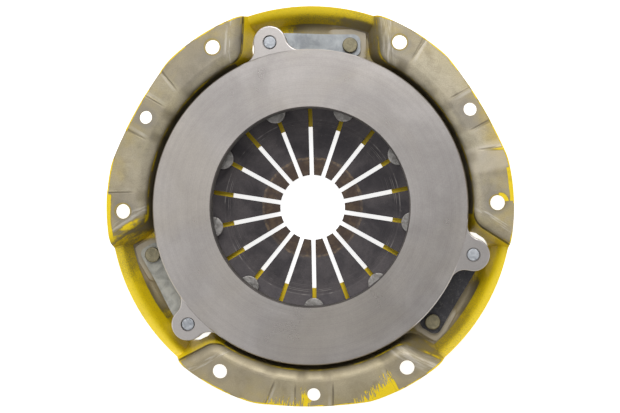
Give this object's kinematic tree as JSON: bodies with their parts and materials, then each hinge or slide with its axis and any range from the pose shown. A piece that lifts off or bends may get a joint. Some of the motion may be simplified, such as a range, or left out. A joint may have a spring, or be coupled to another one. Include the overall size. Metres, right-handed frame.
{
  "type": "clutch pressure plate",
  "caption": "Diaphragm-spring clutch cover assembly: stamped yellow cover, turned iron pressure plate, slotted spring and riveted drive straps.",
  "frame": {"origin": "centre of the flywheel bolt circle, in the cover's bolted face", "axes": "+Z along the clutch axis towards the flywheel, +X through a bolt hole"},
  "size_m": [0.25, 0.2472, 0.0382],
  "materials": {
    "cover_sheet": "deep-drawn steel, yellow painted outside and in the arches, bare olive-grey on the flange",
    "cast_plate": "face turned to a fine concentric grain, back as cast",
    "spring_steel": "heat-treated and blackened, brown ring where the fingers start",
    "fulcrum_wire": "drawn spring wire",
    "strap_steel": "blued spring strip, mottled",
    "pivot_rivet_steel": "cold-headed, satin",
    "cover_rivet_steel": "cold-headed, olive passivated",
    "plate_rivet_steel": "cold-headed, bright zinc"
  },
  "bodies": {
    "cover_assembly": {"cover": "cover_sheet", "diaphragm_spring": "spring_steel", "fulcrum_ring_cover_side": "fulcrum_wire", "fulcrum_ring_plate_side": "fulcrum_wire", "pivot_rivet_1": "pivot_rivet_steel", "pivot_rivet_2": "pivot_rivet_steel", "pivot_rivet_3": "pivot_rivet_steel", "pivot_rivet_4": "pivot_rivet_steel", "pivot_rivet_5": "pivot_rivet_steel", "pivot_rivet_6": "pivot_rivet_steel", "pivot_rivet_7": "pivot_rivet_steel", "pivot_rivet_8": "pivot_rivet_steel", "pivot_rivet_9": "pivot_rivet_steel", "drive_strap_1_leaf_1": "strap_steel", "drive_strap_1_leaf_2": "strap_steel", "drive_strap_1_leaf_3": "strap_steel", "drive_strap_2_leaf_1": "strap_steel", "drive_strap_2_leaf_2": "strap_steel", "drive_strap_2_leaf_3": "strap_steel", "drive_strap_3_leaf_1": "strap_steel", "drive_strap_3_leaf_2": "strap_steel", "drive_strap_3_leaf_3": "strap_steel", "strap_cover_rivet_1": "cover_rivet_steel", "strap_cover_rivet_2": "cover_rivet_steel", "strap_cover_rivet_3": "cover_rivet_steel"},
    "plate_assembly": {"pressure_plate": "cast_plate", "strap_plate_rivet_1": "plate_rivet_steel", "strap_plate_rivet_2": "plate_rivet_steel", "strap_plate_rivet_3": "plate_rivet_steel"}
  },
  "joints": [
    {"name": "plate_lift", "type": "slide", "parent": "cover_assembly", "child": "plate_assembly", "axis": [0, 0, -1], "range_m": [0, 0.0055], "stiffness_N_per_m": 60000, "springref_m": -0.001, "deforming": ["diaphragm_spring", "drive_strap_1_leaf_1", "drive_strap_1_leaf_2", "drive_strap_1_leaf_3", "drive_strap_2_leaf_1", "drive_strap_2_leaf_2", "drive_strap_2_leaf_3", "drive_strap_3_leaf_1", "drive_strap_3_leaf_2", "drive_strap_3_leaf_3"]}
  ]
}
